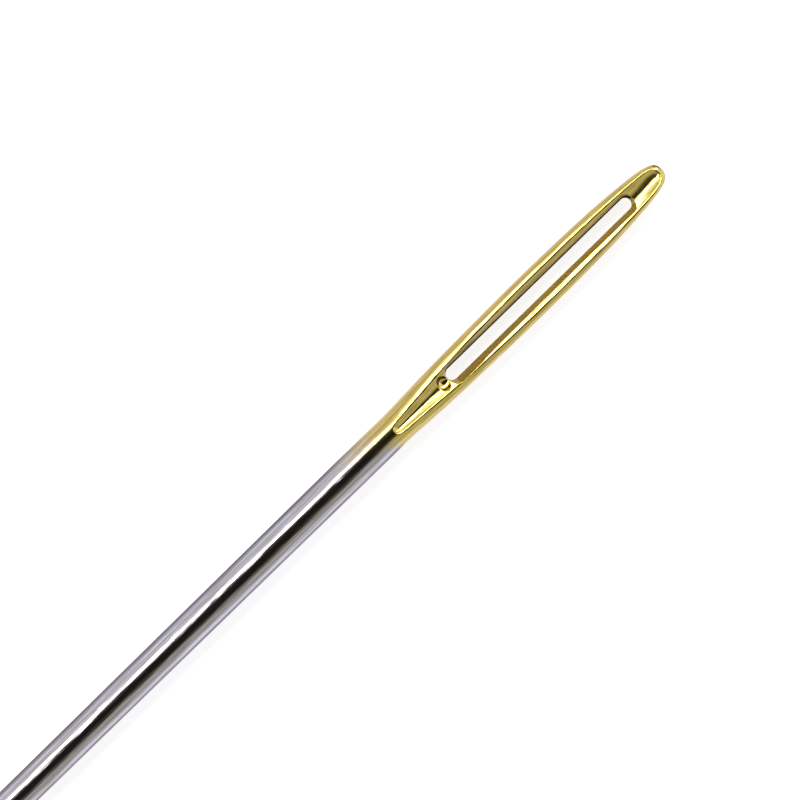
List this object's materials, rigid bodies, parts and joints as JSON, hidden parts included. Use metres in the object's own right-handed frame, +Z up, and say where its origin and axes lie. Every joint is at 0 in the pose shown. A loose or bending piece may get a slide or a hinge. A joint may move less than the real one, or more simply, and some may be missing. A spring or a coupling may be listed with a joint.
{
  "type": "hand sewing needle",
  "caption": "Large-eyed hand sewing needle: a polished steel wire with a sharp point, a flattened gilt head, pressed gutters on both faces and a long narrow eye.",
  "frame": {"origin": "under the middle of the needle's length, on the surface that it lies on", "axes": "+X along the needle towards the head, +Z up, along the axis of the eye"},
  "size_m": [0.048, 0.0016, 0.0013],
  "materials": {
    "plated_steel": "polished bright steel, gilt over the head"
  },
  "bodies": {
    "root": {"needle": "plated_steel"}
  },
  "joints": []
}
